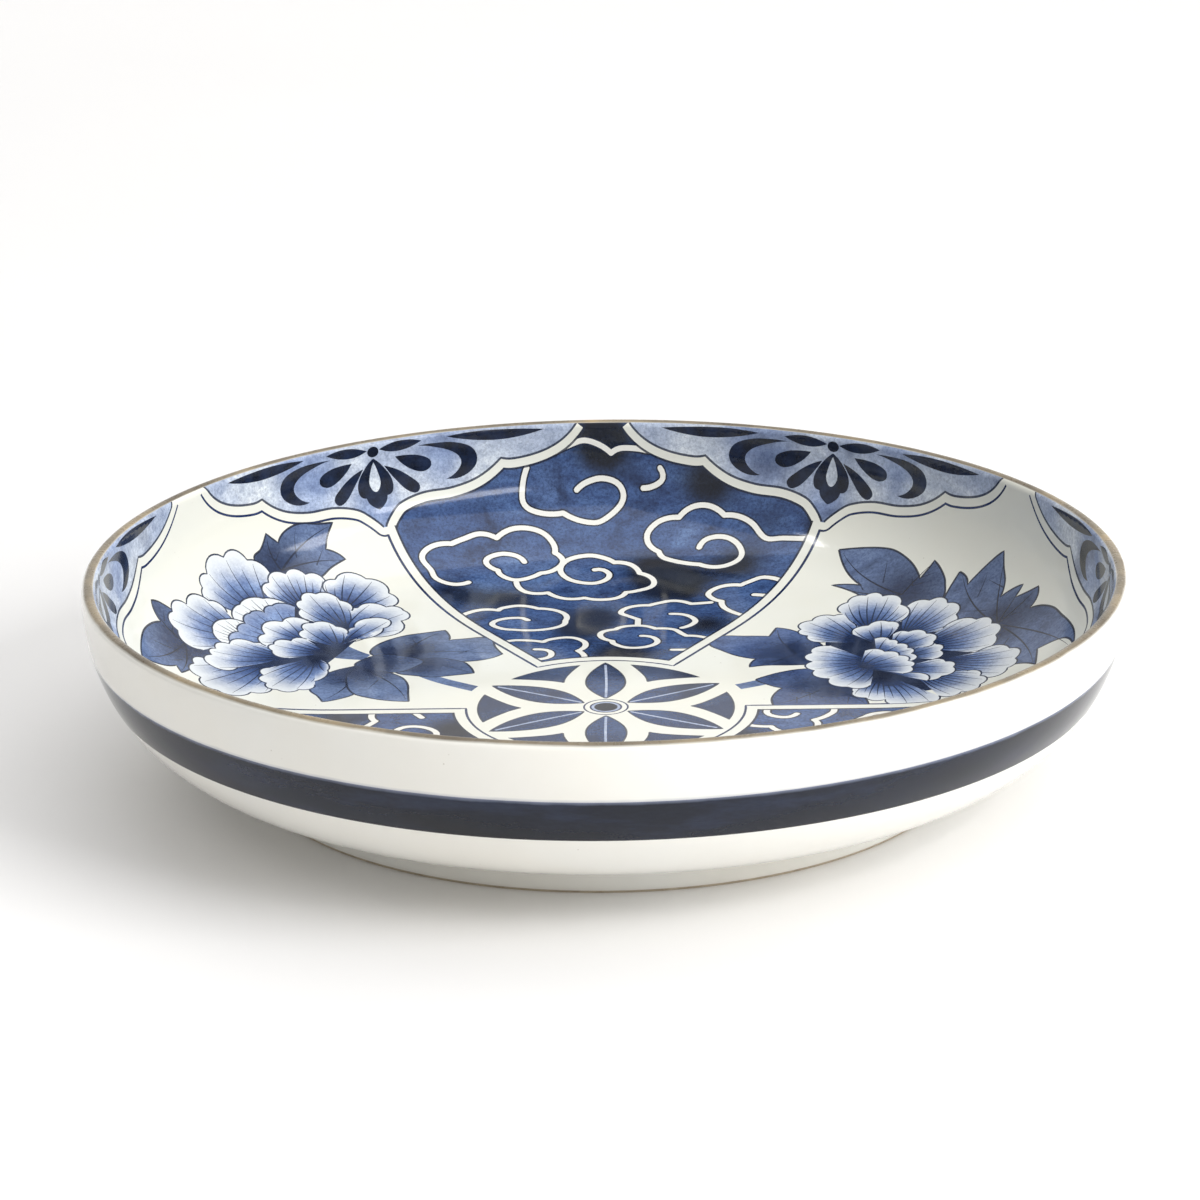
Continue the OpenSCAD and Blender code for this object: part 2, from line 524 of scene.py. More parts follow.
def leaf(section, outline, heart, shade=LEAF):
    """A lobed leaf: dark towards its heart, with a vein to each tip and side veins off it."""
    heart = np.array(heart, float)

    def paint(u, v):
        t = ease((np.hypot(u - heart[0], v - heart[1]) - 2) / LEAF_REACH)
        return paint_layer(blend(LEAF_HEART, shade, t))

    edge = curve(outline, 0.8, closed=True)
    section.fill(edge, paint)
    section.edge(edge, LEAF_VEIN, DARK_LINE)
    tips = [np.array(p[:2], float) for p in outline if len(p) > 2 and p[2] == TIP]
    for tip in tips:
        way = tip - heart
        across = np.array([-way[1], way[0]])
        middle = heart + way * 0.5 + across * 0.06
        section.line([heart, middle, heart + way * 0.93], LEAF_VEIN, DARK_LINE, taper=(1, 0.8, 0.15))
        for share in (0.3, 0.55):
            for side in (-1, 1):
                start = heart + way * share
                end = start + way * 0.2 + across * side * 0.2
                clear = all(gap(end, heart, other) > SIDE_VEIN_GAP for other in tips if other is not tip)
                if clear and winding(end[None] + (end - start) * 0.3, edge)[0]:
                    section.line([start, end], 0.36, flat(INK, 1, 0.8), taper=(1, 0.7, 0.2))


def stem(section, path, widths):
    line = curve(path, 0.8)
    section.fill(ribbon(line, np.interp(np.linspace(0, 1, len(line)), [0, 1], widths)), flat(LEAF))


def side_lines(section, start):
    """Half of the blue line at each side of a panel, from near the rosette to the lappets' points."""
    side = np.linspace([0, start], [0, POINT_S - BORDER_W], 50)
    for degrees in (-HALF_SECTOR, HALF_SECTOR):
        section.fill(ribbon(turned(side, degrees), 2 * SIDE_LINE), BLUE_LINE)


def lappet_borders(section, line):
    """The white band round the two lappets beside a panel, and the line along it."""
    right = turned(mirrored(lappet_side()), HALF_SECTOR)
    for side in (right, mirrored(right)):
        tips = (side[0], side[-1])
        for width, paint in ((BORDER_W + LINE_W, line), (BORDER_W, BARE)):
            section.fill(ribbon(side, 2 * width), paint)
            for tip in tips:
                if np.hypot(*tip) < EDGE_S - 1:
                    section.fill(ring_points(*tip, width, 24), paint)


# ---- cloud panel
# White ribbons of the clouds; a third value marks a corner
CLOUD_RIBBONS = [
    [(-22.5, 113), (-23, 108), (-22, 104), (-18, 102.5), (-12.5, 103, 1), (-5, 100.8), (-1, 103), (2, 107),
     (1, 110.5), (-3, 112), (-7, 111), (-9.5, 109)],
    [(11.5, 114), (12, 111.5), (10, 110), (7, 109.5)],
    [(-16, 117.4), (-11, 120), (-8, 120.9), (-4, 119.9), (-1, 118, 1), (2, 119.2), (9, 118.2)],
    [(20, 92), (22, 94.5), (26, 94.5), (29, 92), (30, 88), (28, 85.5), (24, 84.5), (20, 86, 1), (12, 89),
     (10.5, 91.5, 1), (8, 94.5), (8, 98), (11, 101), (15.5, 101.5, 1), (18, 103.5), (21, 104), (24, 103),
     (26.5, 100.5, 1), (30, 99.5), (33, 97), (36, 92), (40, 91), (46, 89)],
    [(-21, 87), (-23, 89), (-27, 89), (-30, 86), (-27, 83, 1), (-26, 81), (-23, 79.5), (-20, 80.5),
     (-17, 83, 1), (-14, 84.5), (-12, 88), (-14, 91, 1), (-14.5, 94), (-17, 97), (-21, 98), (-25, 97),
     (-28, 94, 1), (-32, 94.5), (-36, 92), (-38.5, 90, 1), (-43, 88), (-45, 84), (-42.5, 80), (-41, 77),
     (-37, 75.5), (-33.5, 77)],
    [(-4.5, 85), (-2.5, 85), (-1, 83), (-2, 80.5), (-5, 79), (-10, 80.5), (-12.5, 84.5), (-11, 88.5),
     (-6, 90.5), (-2, 89.5), (0, 88, 1), (4, 87), (6, 83.5, 1), (9, 81), (9, 77.5), (5, 75), (3, 74.5, 1),
     (1, 71.5), (-3, 70.5), (-6.5, 71.5, 1), (-11, 71), (-15, 74, 1), (-20, 74), (-22.5, 78.5)],
    [(40, 75), (35, 78.5), (31, 77), (29.5, 76, 1), (25, 76), (22, 73), (23, 70), (25, 68.5, 1), (26, 64),
     (31, 59)],
    [(36, 70), (32.5, 71)],
    [(22.5, 68), (18, 67.5, 1), (14, 69.5), (10, 68), (8.5, 67, 1), (4, 66), (2, 62.5), (4, 60), (6, 58, 1),
     (6, 54)],
    [(13.5, 61.5), (17, 60.5), (19, 57), (18, 54), (16, 52)],
    [(7, 46.5), (9.5, 45.5), (10.5, 42), (8, 39), (4, 38.5), (1, 41), (0.5, 43, 1), (-2, 45.5), (-2, 49),
     (1, 51, 1), (3, 53), (7, 53.5), (10, 51.5, 1), (14, 51), (16, 48), (17, 46.5, 1), (20, 46), (24, 43)],
    [(-19, 57.5), (-21, 59), (-25, 58), (-27, 55), (-25, 52), (-22, 51, 1), (-18, 50.5), (-14, 51.5),
     (-11, 54), (-10.5, 57, 1), (-10.5, 61), (-13, 64), (-17, 65, 1), (-21, 66.5), (-25, 65),
     (-26, 63.5, 1), (-30, 63.5), (-34, 60)],
    [(-25, 41), (-22, 43.5), (-18, 43.5), (-15, 42.5, 1), (-13, 44.5), (-9, 45.5), (-6, 43), (-5.5, 39.5),
     (-7, 36.5, 1), (-5.5, 33), (-6, 31)],
    [(-16.5, 37.5), (-13.5, 36.5), (-13, 33), (-15, 31), (-18, 31)],
    [(14, 37), (20, 37)],
]
# Pools of dark (below 0) and of light wash (above 0): u, v, size, strength
CLOUD_POOLS = [
    (-14, 107, 9, 0.25), (20, 96, 9, 0.3), (-24, 88, 10, 0.25), (-3, 80, 9, 0.25), (-19, 58, 7, 0.3),
    (14, 60, 7, 0.25), (5, 46, 6, 0.25), (32, 68, 7, 0.25), (-12, 38, 7, 0.2), (0, 121, 8, -0.75),
    (26, 108, 8, -0.55), (12, 84, 9, -0.6), (-34, 72, 7, -0.35), (31, 84, 7, -0.5), (-22, 70, 8, -0.45),
    (15, 74, 8, -0.45), (-2, 60, 8, -0.5), (-6, 50, 7, -0.5), (4, 34, 8, -0.55), (22, 54, 7, -0.5),
    (-28, 104, 8, -0.15), (40, 96, 6, -0.2), (-10, 96, 6, -0.15), (18, 79, 5, -0.3),
]
RIBBON_W = 1.35


def cloud_ground(u, v):
    t = pooled(u, v, CLOUD_POOLS)
    low, high = ease(t / 0.5), ease((t - 0.5) / 0.5)
    return paint_layer(blend(blend(NIGHT, COBALT, low), MID, high * 0.7))


def cloud_section():
    section = Section(panel_outline(), cloud_ground)
    section.lean = DRAWN_LEAN
    for width, paint in ((RIBBON_W + 0.8, DARK_LINE), (RIBBON_W, flat(WHITE, 0.05))):
        for ribbon_points in CLOUD_RIBBONS:
            section.line(ribbon_points, width, paint, step=0.8)
    section.lean = 0
    lappet_borders(section, INK_LINE)
    side = np.linspace([0, ROSETTE_R - 2], [0, POINT_S], 60)
    foot = round_points(ROSETTE_R, -31, 31, 60)
    for extra, paint in ((LINE_W, INK_LINE), (0, BARE)):
        for degrees in (-HALF_SECTOR, HALF_SECTOR):
            section.fill(ribbon(turned(side, degrees), 2 * (BORDER_W + LINE_W + extra)), paint)
        section.fill(ribbon(foot, 2 * (BORDER_W - 0.5 + extra)), paint)
    side_lines(section, ROSETTE_R - 2)
    return section


# ---- peony panels
# Leaves: outline, heart, and the shade where it differs. Petals, from the back to the front: base,
# notches, and where they differ the veins, the bulge, where the pale edge starts and its colour
OPEN_LEAVES = [
    ([(-45.5, 87.5, 2), (-40, 92.5), (-35, 95.5), (-31, 96.2), (-26, 95.8), (-21, 94, 1), (-22, 99.5, 2),
     (-18, 98.5), (-14, 96.5), (-10, 92), (-14, 84), (-24, 81), (-29, 81.4), (-36.5, 79.3, 2), (-34, 82),
     (-31, 84, 1), (-38, 84.6)], (-20, 88)),
    ([(-13, 100.5, 2), (-10, 100.2), (-7.8, 98.8, 1), (-7.5, 103), (-6, 107), (-4, 109.5, 2), (-1.5, 106.5),
     (2, 103.5), (4.5, 99.8, 1), (6, 102.5), (8.5, 104.5, 2), (9, 101, 1), (12, 103.5), (14.3, 105.3, 2),
     (16.2, 103), (16.5, 99.8, 1), (20, 101.3), (25, 101.5), (30, 100.2), (36, 98.4), (41, 96),
     (45, 92.3, 2), (40, 94.3), (36, 93.5), (32.5, 90, 1), (35, 88), (38.3, 85.3, 2), (33, 84.4), (28, 80),
     (10, 84), (-2, 86), (-9, 92)], (12, 93)),
    ([(-26, 58, 2), (-23, 60), (-19, 60.8), (-10, 60.5), (-4, 56), (-1.5, 52.5), (-3, 48), (-5.5, 43.5),
     (-6.4, 39.5, 2), (-8.5, 41), (-10.4, 43.4, 1), (-14, 41), (-19, 39.8), (-24, 39.5), (-27.5, 44),
     (-25, 49), (-22, 53.8, 1)], (-9, 53), DARK_LEAF),
    ([(1.5, 51), (10, 52), (22, 51), (27.5, 49, 2), (29, 44), (24, 38), (17, 31.5, 2), (12.5, 34),
     (8.8, 38.6, 1), (5, 37), (1, 37)], (13, 47), DARK_LEAF),
]
OPEN_STEM = ([(3.2, 29.2), (3.4, 34), (3.2, 39)], (3.2, 3.6))
# Deep blue that shows in the gaps between the petals
OPEN_CORE = [(-17, 68), (-13, 78), (-4, 85), (7, 86), (19, 82), (26, 75), (27, 64), (19, 56), (5, 54.5),
             (-8, 60)]
SIDE_CORE = [(-22, 70), (-20, 82), (-10, 92), (6, 95), (18, 89), (24, 80), (20, 73), (6, 70), (-10, 67),
             (-20, 66)]
OPEN_PETALS = [
    ((-4, 77), [(-14.5, 85), (-12.3, 90.6), (-7.4, 92.4), (-1.5, 90.8), (0.8, 84)]),
    ((3, 76), [(0.6, 85.5), (5, 92), (10.2, 92.7), (15.4, 90.2), (17.4, 83)]),
    ((12, 74), [(17.6, 83), (24.2, 88), (29.8, 85.6), (31.8, 82), (31.3, 76.8)]),
    ((14, 68), [(24, 76.4), (29, 76.6), (33.2, 73.8), (33.2, 68.8), (31.6, 64.2)]),
    ((12, 62), [(31.4, 64.3), (33.2, 59.2), (31, 55.4), (26.2, 54), (23.2, 50.9), (18.4, 50.6),
     (16.8, 54)]),
    ((5, 65), [(-9.5, 62), (-7.5, 56), (-2.6, 53.2), (2.6, 50.5), (8.8, 50.6), (15.4, 51.2), (17, 56)]),
    ((-7, 69), [(-12, 62.3), (-17.8, 61.2), (-22, 62), (-25, 66.8), (-24, 72), (-20.4, 74.4), (-16, 74.2)]),
    ((-11, 73), [(-10.5, 80.5), (-16.8, 85.6), (-23.3, 84.9), (-26.8, 82.4), (-27.4, 77.8), (-24.2, 74)]),
    ((-3, 71), [(-8, 79), (-12.4, 79.4), (-14.2, 75), (-12.6, 69.8)], 4),
    ((11, 66), [(12.2, 74.2), (15.6, 76.4), (19.6, 75.8), (22, 71.2), (20.6, 67)], 4),
    ((6, 71), [(3, 78), (6, 80.2), (9.6, 79), (12.4, 75.2)], 4),
    ((0, 72), [(-6.2, 76.6), (-4.6, 79.6), (-0.4, 81.8), (4.4, 80.6), (5, 77.4)], 4),
    ((10, 62), [(22, 67.5), (19, 69.4), (15, 67), (11, 64)], 3, 0.12),
    ((2, 67), [(-7, 72.2), (-4, 74.4), (-1, 74.4), (2.6, 74.8), (6, 73.6), (9.6, 71.4)], 4),
    ((6, 60), [(-2.4, 66.8), (1, 69.8), (5, 71), (9, 70.8), (12.6, 69.4), (14.8, 65.8)], 6),
]
SIDE_LEAVES = [
    ([(13.5, 104.8), (17, 105.8), (20.8, 108.2, 2), (22.7, 104.9, 1), (26, 106.2), (31, 105.8), (36, 103),
     (39.5, 101.2, 2), (36, 99.5), (33, 97.3, 1), (34.6, 95), (35, 92.6, 2), (30, 93), (25.5, 92.5),
     (20, 93), (12, 98)], (18, 99)),
    ([(-48, 89.7, 2), (-44, 93.5), (-39, 97), (-34, 98.7), (-29.6, 98.9, 1), (-29.4, 102),
     (-28.4, 104.3, 2), (-25, 103.3), (-22, 100), (-22, 90), (-28, 84.5), (-34, 84), (-40.3, 83.3, 2),
     (-38.8, 86, 1), (-43, 86.7)], (-28, 92)),
    ([(-27.5, 54.7, 2), (-25, 57.8), (-23.3, 60.8), (-19.5, 63), (-13, 64), (-7, 62.5), (-3, 59), (-9, 55),
     (-20, 51.6), (-25, 53)], (-8, 59)),
    ([(-19.8, 51.8), (-20.3, 46), (-19.5, 42), (-18, 38.7, 2), (-14, 41.5), (-9, 45), (-6, 48.5),
     (-4.8, 51.8), (-3, 58), (-8, 60.5), (-15, 57)], (-6, 58)),
    ([(3, 62.5), (6, 64.6), (11, 65), (17, 63.3), (21, 60.6), (25, 57.6, 2), (22.5, 54.8), (20, 53.2, 1),
     (22.4, 50.8), (25.6, 46.5), (21, 41.5), (18, 37.8, 2), (14.6, 38.4), (11.8, 40), (9.3, 42.8, 1),
     (5, 50), (3, 57)], (8, 57)),
    ([(-4, 51.3), (-3.5, 46.5), (-2.5, 43), (0, 40.3), (4.2, 36.4, 2), (7.4, 39.5), (9.3, 42.9), (8, 50),
     (1, 53)], (4, 50)),
    ([(-5, 61.4), (0, 62.4), (4.4, 60.6), (6, 56), (5.4, 50.4), (1, 49.9), (-2.6, 50.6), (-4.6, 53)],
     (-1, 59)),
]
SIDE_STEM = ([(-4.2, 29.2), (-3.9, 35), (-3.2, 41), (-1.5, 47)], (3.4, 3.0))
SIDE_CALYX = ([(0.2, 71), (0.4, 67), (1, 62.5)], (9, 3.6))
SIDE_PETALS = [
    ((2, 89), [(-8, 99), (-7.4, 104), (-3.2, 106.5), (4.8, 108.4), (11.3, 105.3), (13.6, 98)], 8),
    ((-9, 87), [(-25.5, 88.5), (-26.2, 95.8), (-22.8, 100.8), (-16.2, 101.6), (-8.4, 100.6), (-6.6, 96)],
     8),
    ((12, 86), [(8, 95.5), (12, 98.2), (18.2, 98), (22.7, 95.2), (25.2, 91), (22, 88)]),
    ((18, 81), [(22, 88.6), (27.6, 90), (33.9, 85.5), (33.3, 78.6), (29, 74.6)], 8),
    ((2, 86), [(-6.9, 93.8), (-1, 96.7), (6.4, 95.4), (10.4, 90.6)], 11, 0.16, 0.2),
    ((-10, 85), [(-17.6, 88.2), (-16, 93), (-9, 94.6), (-5.4, 91.4)], 11, 0.16, 0.2),
    ((-2, 80), [(-15.6, 88), (-10, 90), (-5.5, 91.4), (-1.3, 93.4), (2.5, 91.9), (6.4, 92.6), (11, 89.4)],
     9, 0.2, 0.75, PALE),
    ((-14, 77), [(-28, 86), (-33, 85.4), (-36.9, 80.4), (-38.8, 74.5), (-33, 69.6), (-27, 68.4)], 8),
    ((8, 75), [(16, 78.6), (22.5, 79.9), (27.7, 75.4), (29, 71.6), (24, 68.8), (12, 69)], 7),
    ((3, 71.6), [(8.5, 73.4), (14, 74.9), (20.4, 75), (22.6, 71), (18, 69.6), (9, 70.6)], 4, 0.18),
    ((-5, 71.4), [(-19.6, 62.2), (-24.2, 63.2), (-27.4, 66.6), (-25.9, 70.6), (-22.8, 73.7), (-18, 75.2)],
     7),
    ((-7, 70.4), [(-18, 63.4), (-10.6, 65), (-6.2, 69.6)], 3, 0.14, 0.6),
    ((-10, 75.5), [(-24, 79.6), (-29.4, 83.4), (-24.9, 86.4), (-21.6, 87.8), (-16.6, 87.7), (-10.6, 85),
     (-9.4, 80)], 8),
    ((12, 75), [(9, 84), (11.2, 88), (14.4, 90.1), (19.4, 89.6), (22.1, 84.4), (20.4, 80)], 7),
    ((0, 78), [(-9.4, 82.6), (-5, 86.2), (3.2, 87.3), (8.6, 83.6)], 6, 0.3, 0.5),
    ((2, 70.4), [(0.8, 79), (4.2, 82), (8.6, 82.7), (11.4, 78), (10, 74)], 5),
    ((-2, 70.4), [(-10.4, 75.6), (-10.2, 80.4), (-7.2, 82.1), (-2.6, 80.6), (1, 78.8)], 6),
]


def peony_section(leaves, stems, core, petals):
    section = Section(panel_outline(), BARE)
    lappet_borders(section, BLUE_LINE)
    side_lines(section, ROSETTE_R)
    section.lean = DRAWN_LEAN
    for path, widths in stems:
        stem(section, path, widths)
    for outline, heart, *shade in leaves:
        leaf(section, outline, heart, *shade)
    section.blot(core, 0.8, flat(DEEP))
    for base, notches, *how in petals:
        petal(section, base, notches, *how)
    return section


# ---- rosette and lappets
def rosette_section():
    section = Section(round_points(ROSETTE_R, 0, -360, 200)[:-1], BARE)
    for degrees in range(0, 360, 60):
        blade = curve([(0, 5.4, 1), (3.4, 11), (4.3, 16), (3.2, 22), (0, 28.4, 1), (-3.2, 22), (-4.3, 16),
                       (-3.4, 11)], 0.6, closed=True)
        section.fill(turned(blade, degrees), rosette_blue)
        section.edge(turned(blade, degrees), 0.4, INK_LINE)
        rib = curve([(0, 6), (0.15, 16), (0, 27)], 0.8)
        section.fill(ribbon(turned(rib, degrees), 0.55), flat(PALE, 0.6))
        side = curve([(0, 18.2, 1), (2.6, 21.4), (8.6, 26.2, 1)], 0.6)
        top = round_points(27.4, 17.6, -17.6, 14)
        wedge = np.vstack([side, top, mirrored(side)])
        section.fill(turned(wedge, degrees + HALF_SECTOR), rosette_blue)
        section.edge(turned(wedge, degrees + HALF_SECTOR), 0.4, INK_LINE)
    for degrees in (0, 120, 240):
        ring = np.vstack([round_points(31.5, -30, -30, 1)[:1], round_points(29.9, -30, 30, 50),
                          round_points(31.5, 30, 30, 1)[:1]])
        section.fill(ribbon(turned(ring, degrees), LINE_W), BLUE_LINE)
    eye_rings = ((4.9, LINE, 1), (4.5, WHITE, 0), (3.5, LINE, 1), (3.1, PALE, 0.5), (2.5, NIGHT, 1))
    for radius, colour, load in eye_rings:
        section.fill(round_points(radius, 0, -360, 40)[:-1], flat(colour, load))
    return section


def rosette_blue(u, v):
    t = ease((np.hypot(u, v) - 6) / 22)
    return paint_layer(blend(COBALT, DEEP, 0.25 + 0.5 * t))


# Where the wash on a lappet lies heavy (below 0) or thin (above 0): u, v, size, strength
LAPPET_POOLS = [(0, 108, 7, -0.5), (-17, 117, 8, -0.4), (20, 119, 7, -0.35), (-36, 114, 8, 0.5),
                (38, 113, 7, 0.1), (-7, 122, 5, 0.3), (9, 112, 6, 0.35), (-27, 121, 6, -0.3),
                (28, 113, 6, 0.4), (-10, 112, 5, 0.2)]


def lappet_ground(u, v):
    return paint_layer(blend(WASH, THIN_WASH, ease(pooled(u, v, LAPPET_POOLS))), 0.9)


def lappet_section():
    section = Section(lappet_outline(), lappet_ground)
    side = lappet_side()
    for path in (side, mirrored(side)):
        section.fill(ribbon(path, 2 * LINE_W), INK_LINE)
    # The fan, right half: two drops, a crescent, and slivers under the lip near to and far from the middle
    fan = [
        [(6.4, 121, 1), (10, 120.7), (13.3, 119.9), (16, 118.2), (15.8, 116.5), (13.1, 116), (9.3, 118)],
        [(3, 119.4, 1), (6.9, 117.7), (10.2, 115.2), (12, 112.9), (10.8, 111.5), (8.5, 112.5), (5.8, 115.6)],
        [(13, 122.3, 1), (18, 121.8), (23.2, 120.6), (27.5, 118.2), (28.6, 115.5), (27.2, 113.2),
         (23.2, 112), (19.2, 112.7, 1), (22.6, 113.7), (24.2, 115.8), (22.5, 118.4), (17.4, 121)],
        [(1.8, 123.5, 1), (7.5, 122.2), (14.4, 123.3, 1), (8, 124.6)],
    ]
    # The far sliver keeps to the lip: degrees from the middle, depth below the lip
    sliver = [(10, 1.1, 1), (14, 2.7), (18, 2.9), (22.6, 1.1, 1), (18, 0.6), (14, 0.5)]
    fan.append([(*turned([0, EDGE_S - depth], d), *corner) for d, depth, *corner in sliver])
    for points in fan:
        for way in (1, -1):
            section.blot([(p[0] * way, *p[1:]) for p in points], 0.6, ink_wash)
    half = [(0, 121.5, 1), (2.6, 119.4), (4.8, 116), (4.6, 113.2), (2.9, 112.4, 1), (2.2, 110.9),
            (0, 109.4, 1)]
    spade = half + [(-p[0], *p[1:]) for p in half[-2:0:-1]]
    section.blot(spade, 0.5, ink_wash)
    drop = [(0, 120.6, 1), (1.2, 117.8), (1.5, 115.3), (0, 113.6), (-1.5, 115.3), (-1.2, 117.8)]
    section.blot(drop, 0.5, flat(THIN_WASH, 0.8))
    section.fill(ring_points(0, 123.1, 1.7, 20, 0.75), flat(NIGHT))
    return section


def ink_wash(u, v):
    """Near black with bluer thin places."""
    t = 0.5 + 0.5 * np.sin(u * 0.9 + 1.3 * np.sin(v * 0.7)) * np.cos(v * 0.8 - 0.6 * np.sin(u * 0.5))
    return paint_layer(blend(NIGHT, DEEP, t))


# ---- turned pieces
SHARP = math.radians(32)  # steeper edges than this stay crisp


def lathe(name, outline, materials, around=288, material_of=None):
    """A closed outline of radius and height turned about the upright axis."""
    outline = np.array(outline, float)
    n = len(outline)
    turns = np.arange(around) * 2 * math.pi / around
    on_axis = outline[:, 0] < 1e-6
    verts, index = [], np.zeros((n, around), int)
    for i, (r, z) in enumerate(outline):
        if on_axis[i]:
            index[i] = len(verts)
            verts.append((0, 0, z))
        else:
            index[i] = len(verts) + np.arange(around)
            verts.extend(zip(r * np.cos(turns), r * np.sin(turns), np.full(around, z)))
    faces, kinds = [], []
    for i in range(n):
        j = (i + 1) % n
        if on_axis[i] and on_axis[j]:
            continue
        kind = material_of(outline[i], outline[j]) if material_of else 0
        for k in range(around):
            m = (k + 1) % around
            ring = [index[i, k], index[i, m], index[j, m], index[j, k]]
            faces.append(list(dict.fromkeys(ring)))
            kinds.append(kind)
    mesh = bpy.data.meshes.new(name)
    mesh.from_pydata([(x * MM, y * MM, z * MM) for x, y, z in verts], [], faces)
    mesh.polygons.foreach_set("material_index", kinds)
    mesh.shade_smooth()
    mesh.set_sharp_from_angle(angle=SHARP)
    for material in materials:
        mesh.materials.append(material)
    return mesh


# ---- materials
class Nodes:
    """A material's node tree with short calls."""

    def __init__(self, name):
        self.material = bpy.data.materials.new(name)
        self.material.use_nodes = True
        self.tree = self.material.node_tree
        self.tree.nodes.clear()
        self.shader = self.add("ShaderNodeBsdfPrincipled")
        self.add("ShaderNodeOutputMaterial", {0: self.shader.outputs[0]})
        self.place = self.add("ShaderNodeNewGeometry").outputs["Position"]

    def add(self, kind, values=(), **settings):
        """A node with its settings, and what goes into its sockets."""
        made = self.tree.nodes.new(kind)
        for key, value in settings.items():
            setattr(made, key, value)
        for socket, value in dict(values).items():
            self.feed(made.inputs[socket], value)
        return made

    def feed(self, socket, value):
        """Another node's output, a colour or a number into a socket."""
        if isinstance(value, bpy.types.NodeSocket):
            self.tree.links.new(value, socket)
        else:
            socket.default_value = (*value, 1) if socket.type == "RGBA" else value

    def give(self, socket, value):
        self.feed(self.shader.inputs[socket], value)

    def noise(self, scale, detail=3.0, roughness=0.55, stretch=None, distortion=0.0):
        """A noise from 0 to 1; scale is in cells per metre."""
        place = self.place
        if stretch:
            place = self.add("ShaderNodeMapping", {"Scale": stretch, "Vector": place}).outputs[0]
        made = self.add("ShaderNodeTexNoise", {"Scale": scale, "Detail": detail, "Roughness": roughness,
                                               "Distortion": distortion, "Vector": place})
        return made.outputs["Fac"]

    def ramp(self, source, stops):
        """Colours along a value; a stop's colour is a hex code or linear."""
        made = self.add("ShaderNodeValToRGB", {0: source})
        made.color_ramp.interpolation = "EASE"
        elements = made.color_ramp.elements
        while len(elements) < len(stops):
            elements.new(0.5)
        for element, (spot, colour) in zip(elements, stops):
            element.position = spot
            element.color = (*(tint(colour) if isinstance(colour, str) else colour), 1)
        return made.outputs[0]

    def spread(self, source, from_low, from_high, to_low, to_high):
        values = {0: source, 1: from_low, 2: from_high, 3: to_low, 4: to_high}
        return self.add("ShaderNodeMapRange", values).outputs[0]

    def maths(self, operation, a, b):
        return self.add("ShaderNodeMath", {0: a, 1: b}, operation=operation).outputs[0]

    def mix(self, share, a, b, mode="MIX"):
        made = self.add("ShaderNodeMix", {0: share, 6: a, 7: b}, data_type="RGBA", blend_type=mode)
        return made.outputs[2]

    def bump(self, height, distance, strength=1.0, after=None):
        values = {"Height": height, "Distance": distance, "Strength": strength}
        if after is not None:
            values["Normal"] = after
        return self.add("ShaderNodeBump", values).outputs[0]

    def height_mm(self):
        """Height above the table in millimetres."""
        split = self.add("ShaderNodeSeparateXYZ", {0: self.place})
        return self.maths("MULTIPLY", split.outputs["Z"], 1 / MM)

    def ragged(self, height, scale, detail, reach):
        """A height that wavers by up to about reach, for a brushed edge."""
        return self.maths("ADD", height, self.spread(self.noise(scale, detail), 0.3, 0.7, -reach, reach))


GLAZE_GLOSS = 0.09
GLAZE_IOR = 1.5
# The glaze over the print is thicker and a little greener
INSIDE_TONE = np.array([0.945, 0.957, 0.92])


def glaze_finish(nodes, matt=None):
    """Fired gloss: a slow wave over the whole bowl, fine orange peel, and small changes of gloss."""
    wave = nodes.bump(nodes.noise(38, 1.5), 0.00035, 0.22)
    peel = nodes.bump(nodes.noise(900, 2), 0.000012, 0.5, after=wave)
    nodes.give("Normal", peel)
    rough = nodes.spread(nodes.noise(140, 4), 0.35, 0.75, GLAZE_GLOSS * 0.75, GLAZE_GLOSS * 1.6)
    if matt is not None:
        rough = nodes.maths("ADD", rough, matt)
    nodes.give("Roughness", rough)
    nodes.give("IOR", GLAZE_IOR)


def specks(nodes, colour, scale=420, size=0.09, ink=(0.25, 0.18, 0.12)):
    """Sparse iron specks and pinholes, well under a millimetre across."""
    cells = nodes.add("ShaderNodeTexVoronoi", {"Scale": scale, "Vector": nodes.place})
    dot = nodes.spread(cells.outputs["Distance"], size * 0.5, size, 1, 0)
    few = nodes.spread(nodes.noise(130, 2), 0.62, 0.7, 0, 0.55)
    return nodes.mix(nodes.maths("MULTIPLY", dot, few), colour, ink)


def white_colour(nodes, tone=(1, 1, 1)):
    """White with slow warm and cool drift, as glaze lies thicker and thinner."""
    base = WHITE * tone
    warm, cool = base * (0.985, 0.98, 0.965), base * (0.99, 1.0, 1.01)
    drift = nodes.ramp(nodes.noise(24, 4), [(0.3, warm), (0.7, cool)])
    return specks(nodes, drift)


def white_glaze():
    nodes = Nodes("white_glaze")
    # A breath of cobalt in the glaze just above the band
    high = nodes.height_mm()
    bleed = nodes.spread(nodes.ragged(high, 120, 3, 0.15), BAND_HIGH, BAND_HIGH + 0.7, 0.35, 0)
    above = nodes.spread(high, BAND_HIGH - 0.02, BAND_HIGH, 0, 1)
    share = nodes.maths("MULTIPLY", bleed, above)
    nodes.give("Base Color", nodes.mix(share, white_colour(nodes), COBALT))
    glaze_finish(nodes)
    return nodes.material


def bare_clay():
    """The unglazed resting edge: dry and sandy, with iron specks."""
    nodes = Nodes("bare_clay")
    colour = nodes.ramp(nodes.noise(300, 6, 0.7), [(0.3, "a3937d"), (0.55, "bcae98"), (0.75, "d3c8b6")])
    nodes.give("Base Color", specks(nodes, colour, 700, 0.16, (0.12, 0.07, 0.04)))
    nodes.give("Roughness", nodes.spread(nodes.noise(500, 4), 0.3, 0.7, 0.62, 0.85))
    nodes.give("Normal", nodes.bump(nodes.noise(1800, 5, 0.7), 0.00008))
    return nodes.material


